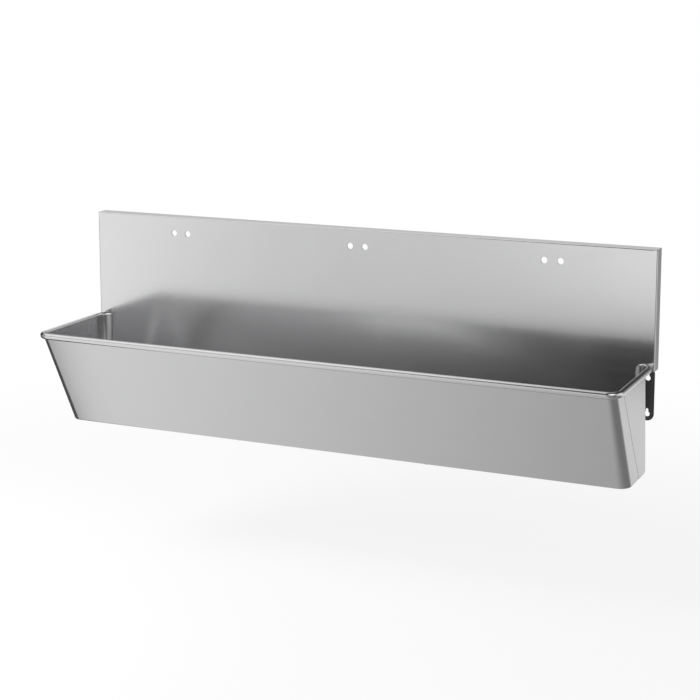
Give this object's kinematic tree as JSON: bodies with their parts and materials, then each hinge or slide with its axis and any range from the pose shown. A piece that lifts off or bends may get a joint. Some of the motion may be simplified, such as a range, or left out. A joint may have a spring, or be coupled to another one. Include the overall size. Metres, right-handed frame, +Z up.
{
  "type": "trough sink",
  "caption": "Long wall-hung wash trough of folded sheet steel with a high splashback drilled for pairs of taps and a sloping front casing.",
  "frame": {"origin": "centre of the middle bracket's wall face, on the wall plane", "axes": "+X along the trough to the right seen from the room, +Y into the wall, +Z up"},
  "size_m": [2.1, 0.47, 0.7339],
  "materials": {
    "sheet_steel": "satin brushed",
    "inner_steel": "mill finish",
    "bracket_steel": "dull, dark",
    "fixings": "bright zinc",
    "waste_steel": "polished",
    "rubber": "matt",
    "damping": "matt bitumen"
  },
  "bodies": {
    "trough": {"bowl": "sheet_steel", "splashback": "sheet_steel", "splashback_stiffener": "inner_steel", "left_tap_plate": "inner_steel", "center_tap_plate": "inner_steel", "right_tap_plate": "inner_steel", "rear_rail": "inner_steel", "left_wall_bracket": "bracket_steel", "center_wall_bracket": "bracket_steel", "right_wall_bracket": "bracket_steel", "bracket_bolts": "fixings", "bracket_nuts": "fixings", "left_side_panel": "sheet_steel", "right_side_panel": "sheet_steel", "left_apron_stay": "inner_steel", "right_apron_stay": "inner_steel", "apron_buffers": "rubber", "waste_grid": "waste_steel", "waste_screw": "waste_steel", "waste_upper_seal": "rubber", "waste_lower_seal": "rubber", "waste_body": "waste_steel", "left_damping_pad": "damping", "right_damping_pad": "damping", "bonding_lug": "inner_steel"},
    "apron": {"front_apron": "sheet_steel", "apron_screws": "fixings", "apron_nuts": "fixings"}
  },
  "joints": [
    {"name": "apron_pull", "type": "slide", "parent": "trough", "child": "apron", "axis": [0, -1, 0], "range_m": [0, 0.25]}
  ]
}
